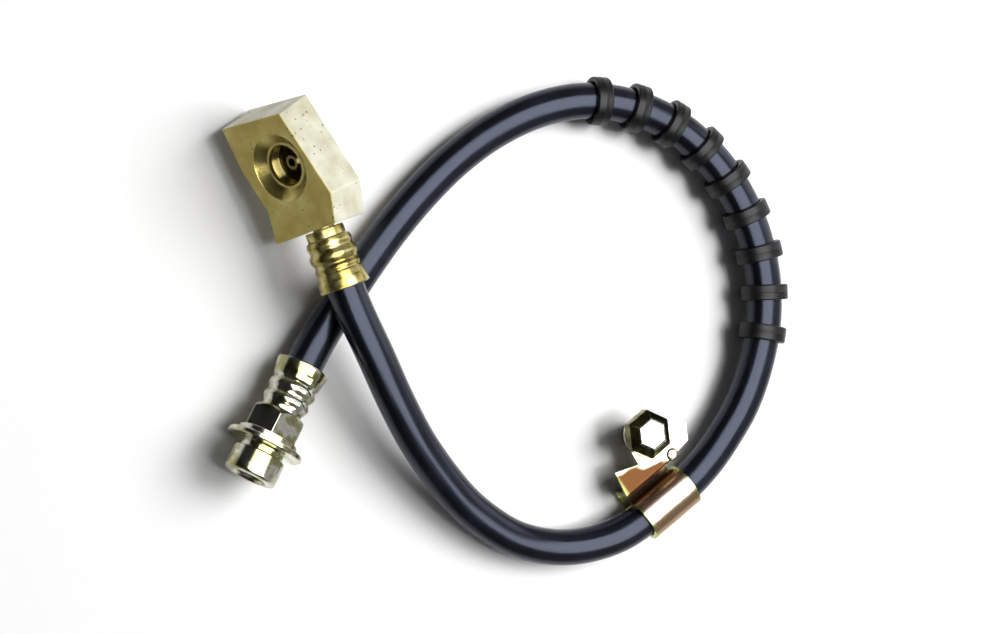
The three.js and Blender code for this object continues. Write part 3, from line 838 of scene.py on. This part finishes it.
def junction_block():
    """Sawn bar: the foot is cut square to the ferrule, the far end runs off square, and the port is bored."""
    bulge, far = (BLOCK_HALF + BLOCK_BULGE, BULGE_AT), (BLOCK_HALF, BLOCK_LENGTH - FAR_SLANT / 2)
    outline = [
        (BLOCK_HALF - 0.2, -FOOT_SPARE), bulge, far, (-BLOCK_HALF, BLOCK_LENGTH + FAR_SLANT / 2),
        (-BLOCK_HALF, DENT_END), (BLOCK_DENT - BLOCK_HALF, DENT_AT), (-BLOCK_HALF - 1.4, -FOOT_SPARE),
    ]
    top, bottom = AXIS_DEPTH, AXIS_DEPTH - BLOCK_THICKNESS
    shape = prism([(x + BLOCK_OFFSET, y) for x, y in outline], bottom, top)
    for vert in shape.verts:
        if vert.co.y > DENT_END + 1:
            vert.co.y += BACK_SLANT * (top - vert.co.z) / BLOCK_THICKNESS
    to_block = block_frame.inverted() @ brass_frame
    sawn = bmesh.ops.bisect_plane(
        shape, geom=[*shape.verts, *shape.edges, *shape.faces], dist=1e-4,
        plane_co=to_block @ Vector((0, foot, 0)), plane_no=to_block.to_3x3() @ Vector((0, 1, 0)),
        clear_inner=True,
    )["geom_cut"]
    bmesh.ops.contextual_create(shape, geom=[item for item in sawn if isinstance(item, bmesh.types.BMEdge)])
    bmesh.ops.recalc_face_normals(shape, faces=shape.faces)
    softened(shape, BLOCK_EDGE)
    port = moved(port_cutter(), Matrix.Translation((PORT_ACROSS, PORT_AT, top)) @ Y_TO_Z)
    shape = combined(shape, port, "DIFFERENCE")
    socket_end = foot + INSERT_DEPTH + SEAT_GAP
    radius = INSERT_DIAMETER / 2 + GRIP_GAP
    socket = turned([(0, foot - 1), (radius, foot - 1), (radius, socket_end), (0, socket_end)], 48)
    shape = combined(shape, moved(socket, to_block), "DIFFERENCE")
    drill_start = to_block @ Vector((0, socket_end - PASSAGE / 2, 0))
    drill_run = Vector((PORT_ACROSS, PORT_AT, top - PORT_REACH + PASSAGE / 2)) - drill_start
    drill = turned([(0, 0), (PASSAGE / 2, 0), (PASSAGE / 2, drill_run.length), (0, drill_run.length)], 32)
    drill_turn = Vector((0, 1, 0)).rotation_difference(drill_run).to_matrix().to_4x4()
    shape = combined(shape, moved(drill, Matrix.Translation(drill_start) @ drill_turn), "DIFFERENCE")
    chance = random.Random(11)
    spots = []
    proud_side, proud_face = 0.1, 0.12
    across, near_foot, near_end = (-11, 9), (1.5, 7), (31, 32.5)
    for _ in range(SIDE_PITS):
        side = Vector(bulge).lerp(Vector(far), chance.uniform(0.05, 0.95))
        spots.append((side.x + BLOCK_OFFSET + proud_side, side.y, chance.uniform(bottom + 1, top - 1)))
    for _ in range(FACE_PITS):
        spots.append((chance.uniform(*across), chance.uniform(*near_foot), top + proud_face))
        spots.append((chance.uniform(*across), chance.uniform(*near_end), top + proud_face))
    return combined(shape, pits(spots), "DIFFERENCE")


place(
    junction_block(), "junction_block_sawn", sawn_brass(), block_frame, "sawn_brass", "junction_block",
    flats=True,
)


# Steel ferrule and female end
plated = zinc_plated_steel()
steel_shell = place(
    crimped_shell(
        STEEL_BELL, STEEL_LOBES, STEEL_NECK, STEEL_JAWS, STEEL_SHELL, steel_depth, COLLAR_DIAMETER
    ),
    "steel_ferrule_crimped", plated, steel_frame, "plated_steel", "steel_ferrule",
)


def chamfered_hex(across, low, high, chamfer):
    """A hexagonal bar about +Y, whose corners are turned off at its low end."""
    outside = across / math.sqrt(3) + 0.05
    bar = softened(moved(prism(hexagon(across), low, high), Z_TO_Y), HEX_EDGE)
    profile = [(0, low), (across / 2 - 0.1, low), (outside, low + chamfer), (outside, high), (0, high)]
    return combined(bar, turned(profile), "INTERSECT")


def female_end():
    """Turned core with its flange, clip groove and nose, joined to the hexagon and bored for its thread."""
    hex_low = STEEL_SHELL + SEAT_GAP
    hex_high = hex_low + HEX_LENGTH
    flange_low = hex_high + STEP_LENGTH
    groove_low = flange_low + FLANGE_THICKNESS
    nose_low = groove_low + CLIP_GROOVE_WIDTH
    end = nose_low + NOSE_LENGTH
    nipple, collar, collar_low = NIPPLE_DIAMETER / 2, COLLAR_DIAMETER / 2, steel_depth + SEAT_GAP
    step, flange, groove, nose = STEP_DIAMETER / 2, FLANGE_DIAMETER / 2, CLIP_GROOVE / 2, NOSE_DIAMETER / 2
    edge, fillet, step_low = 0.3, 0.15, hex_high - 1
    profile = [
        (0, NIPPLE_LEAD), (nipple, NIPPLE_LEAD), (nipple, collar_low), (collar, collar_low),
        (collar, step_low), (step - 0.2, step_low), (step, step_low + 0.2),
        (step, flange_low - fillet), (step + fillet, flange_low),
        (flange - edge, flange_low), (flange, flange_low + edge),
        (flange, groove_low - edge), (flange - edge, groove_low),
        (groove + edge, groove_low), (groove, groove_low + edge),
        (groove, nose_low - edge), (groove + edge, nose_low),
        (nose - 0.25, nose_low), (nose, nose_low + 0.25), (nose, end - 1.1),
        *arc((nose - 1, end - 1), 1, 8, 82, 5), (nose - 1.2, end), (0, end),
    ]
    hexagonal = chamfered_hex(HEX_ACROSS, hex_low, hex_high - 0.5, HEX_CHAMFER)
    shape = combined(turned(profile, 128), hexagonal, "UNION")
    drilled, thread, mouth = NIPPLE_BORE / 2, STEEL_THREAD / 2, STEEL_MOUTH / 2
    floor, seat_rise = end - STEEL_PORT_DEPTH, 1.6
    bore = [
        (0, NIPPLE_LEAD - 1), (drilled, NIPPLE_LEAD - 1), (drilled, hex_high), (1.5, hex_high),
        (1.5, floor + seat_rise), (2.1, floor + seat_rise), (3.5, floor), (thread, floor),
        *thread_side(thread, PORT_GROOVE, PORT_PITCH, floor + 0.4, end - 0.8),
        (thread, end - 0.7), (mouth, end), (mouth, end + 1), (0, end + 1),
    ]
    return combined(shape, turned(bore), "DIFFERENCE")


steel_end = place(
    female_end(), "female_end_turned", plated, steel_frame, "plated_steel", "steel_fitting", flats=True
)


# Clamp
def clamp_strip():
    """The strip's bent section: round the hose from its free lip, along the surface and up to the plate."""
    inner = HOSE_DIAMETER / 2 + GRIP_GAP
    outer = inner + STRIP
    near = -outer - CLAMP_SLOT
    far = near - STRIP
    top = PLATE_RISE + STRIP
    bend, brow, heel, hair = 1.6, 0.6, 0.4, 0.02
    section = arc((0, 0), outer, 180, -90, 60)
    section += arc((far + bend, bend - outer), bend, -90, -180, 8)
    section += [(far, PLATE_RISE), (far, top - hair)]
    section += arc((near - brow, top - brow), brow, 90, 0, 5)
    section += arc((near + heel, heel - inner), heel, 180, 270, 5)
    section += arc((0, 0), inner, -90, 180, 60)
    strip = prism(section, 0, CLAMP_LENGTH)
    return moved(strip, Matrix.Translation((0, CLAMP_LENGTH / 2, 0)) @ Y_TO_Z)


def clamp_bracket():
    """The strip with its plate: a leaf, a round ear for the bolt, a tail beside it, and the stamped bump."""
    root = HOSE_DIAMETER / 2 + GRIP_GAP + STRIP * 1.5 + CLAMP_SLOT
    top = PLATE_RISE + STRIP
    half, ear_radius = CLAMP_LENGTH / 2, EAR_DIAMETER / 2
    ear_sides = [(BOLT_ALONG - ear_radius, BOLT_AWAY), (BOLT_ALONG + ear_radius, BOLT_AWAY)]
    outline = [(-half, root), *PLATE_LEAF, *ear_sides, *PLATE_TAIL, (half, root)]
    plate = prism([(-away, along) for along, away in outline], PLATE_RISE, top)
    centre = (-BOLT_AWAY, BOLT_ALONG)
    ear = prism(arc(centre, ear_radius, 0, 354, 59), PLATE_RISE, top)
    plate = combined(plate, ear, "UNION")
    shape = combined(clamp_strip(), plate, "UNION")
    hole = prism(arc(centre, BOLT_DIAMETER / 2 + GRIP_GAP, 0, 355, 71), PLATE_RISE - 1, top + 1)
    shape = combined(shape, hole, "DIFFERENCE")
    bmesh.ops.dissolve_limit(shape, angle_limit=math.radians(0.5), verts=shape.verts, edges=shape.edges)
    softened(shape, STRIP_EDGE, least=40)
    radius, core, sunk = BUMP_DIAMETER / 2, 0.8, 0.4
    dome = [(0, -sunk), (radius, -sunk), *arc((core, -sunk), radius - core, 0, 90, 6), (0, 0.82)]
    bump = moved(turned(dome, 48), Matrix.Translation((-BUMP_AWAY, BUMP_ALONG, top)) @ Y_TO_Z)
    return combined(shape, bump, "UNION")


bracket = place(
    clamp_bracket(), "clamp_strip_bent", chromate_steel(), clamp_frame, "chromate_steel", "clamp_bracket",
    flats=True,
)


def clamp_bolt():
    """A cold-headed bolt: a hexagon whose top runs in to a small flat, on a threaded shank."""
    low = PLATE_RISE + STRIP + SEAT_GAP
    high = low + BOLT_HEAD
    bevel = high - BOLT_TOP_BEVEL
    head = prism(hexagon(BOLT_HEX), low, bevel)
    cap = max(head.faces, key=lambda face: face.calc_center_median().z)
    top = bmesh.ops.extrude_face_region(head, geom=[cap])["geom"]
    verts = [item for item in top if isinstance(item, bmesh.types.BMVert)]
    bmesh.ops.delete(head, geom=[cap], context="FACES_ONLY")
    bmesh.ops.translate(head, verts=verts, vec=(0, 0, BOLT_TOP_BEVEL))
    share = BOLT_TOP / BOLT_HEX
    bmesh.ops.scale(head, verts=verts, vec=(share, share, 1))
    softened(head, BOLT_EDGE, 3, 10)
    radius, end = BOLT_DIAMETER / 2, PLATE_RISE - BOLT_REACH
    core = radius - BOLT_GROOVE
    profile = [
        (0, end), (radius - 1, end), (radius - 0.7, end + 0.3),
        *thread_side(core, BOLT_GROOVE, BOLT_PITCH, end + 0.4, low), (core, low + 1), (0, low + 1),
    ]
    shank = moved(turned(profile, 64), Y_TO_Z)
    return combined(head, shank, "UNION")


# The bolt is loose in its hole and leans a little, on one corner of its head.
hole_height = PLATE_RISE + STRIP / 2
bolt_spot = (
    clamp_frame
    @ Matrix.Translation((-BOLT_AWAY, BOLT_ALONG, hole_height))
    @ Matrix.Rotation(math.radians(-BOLT_LEAN), 4, "X")
    @ Matrix.Translation((0, 0, BOLT_LIFT - hole_height))
)
bolt = place(
    clamp_bolt(), "hexagon_bolt", olive_steel_lit_top(), bolt_spot, "plated_steel", "clamp_bolt", flats=True
)


# Floor and light
FLOOR_HALF = 3  # metres
FLOOR_DROP = 0.0001  # metres


def make_floor():
    """Glazed white card under the part: plain, with the soft shadow and a faint mirror image of the part."""
    shape = bmesh.new()
    bmesh.ops.create_grid(shape, x_segments=1, y_segments=1, size=FLOOR_HALF)
    bmesh.ops.translate(shape, verts=shape.verts, vec=(0, 0, cad_box[0].z - FLOOR_DROP))
    mesh = bpy.data.meshes.new("floor")
    shape.to_mesh(mesh)
    shape.free()
    material = bpy.data.materials.new("white_card")
    material.use_nodes = True
    material.node_tree.nodes.clear()
    finish_surface(
        material.node_tree, {"Base Color": linear("#F4F4F4"), "Roughness": 0.22, "Specular IOR Level": 0.4}
    )
    mesh.materials.append(material)
    floor = bpy.data.objects.new("floor", mesh)
    bpy.context.scene.collection.objects.link(floor)


def add_light(name, spot, size, radiance, mirrored, aim=(0, 0, 0)):
    """A white soft box of a given brightness, turned to a point. The part mirrors it, or is lit by it."""
    light = bpy.data.lights.new(name, "AREA")
    light.shape, light.size, light.size_y = "RECTANGLE", *size
    light.energy = radiance * math.pi * size[0] * size[1]
    lamp = bpy.data.objects.new(name, light)
    lamp.location = spot
    lamp.rotation_mode = "QUATERNION"
    lamp.rotation_quaternion = (Vector(aim) - Vector(spot)).to_track_quat("-Z", "Y")
    lamp.visible_glossy = mirrored
    lamp.visible_diffuse = not mirrored
    bpy.context.scene.collection.objects.link(lamp)


def light_the_room():
    """A room that is bright to the right and dark to the left, so that metal shows its turn."""
    world = bpy.data.worlds.new("studio")
    bpy.context.scene.world = world
    world.use_nodes = True
    tree = world.node_tree
    tree.nodes.clear()
    direction = add_node(tree, "TexCoord").outputs["Generated"]
    side = add_node(tree, "SeparateXYZ", {"Vector": direction}).outputs["X"]
    share = add_node(tree, "MapRange", {"Value": side, "From Min": -0.6, "From Max": 0.9}).outputs["Result"]
    shade = add_node(
        tree, "ValToRGB", {"Fac": share}, stops=[(0.0, "#28282A"), (0.35, "#55555A"), (1.0, "#C8C8C8")]
    ).outputs["Color"]
    room = add_node(tree, "Background", {"Color": shade, "Strength": 0.6})
    add_node(tree, "OutputWorld", {"Surface": room.outputs["Background"]})


make_floor()
light_the_room()
add_light("key", (0.75, 0.25, 1.0), (0.85, 0.85), 9.8, mirrored=False)
add_light("overhead", (0.04, 0.0, 0.75), (0.92, 1.0), 5, mirrored=True, aim=(0.04, 0, 0))
add_light("side", (0.9, 0.35, 0.3), (0.5, 0.7), 1.1, mirrored=True)
bpy.context.scene.view_settings.view_transform = "Standard"
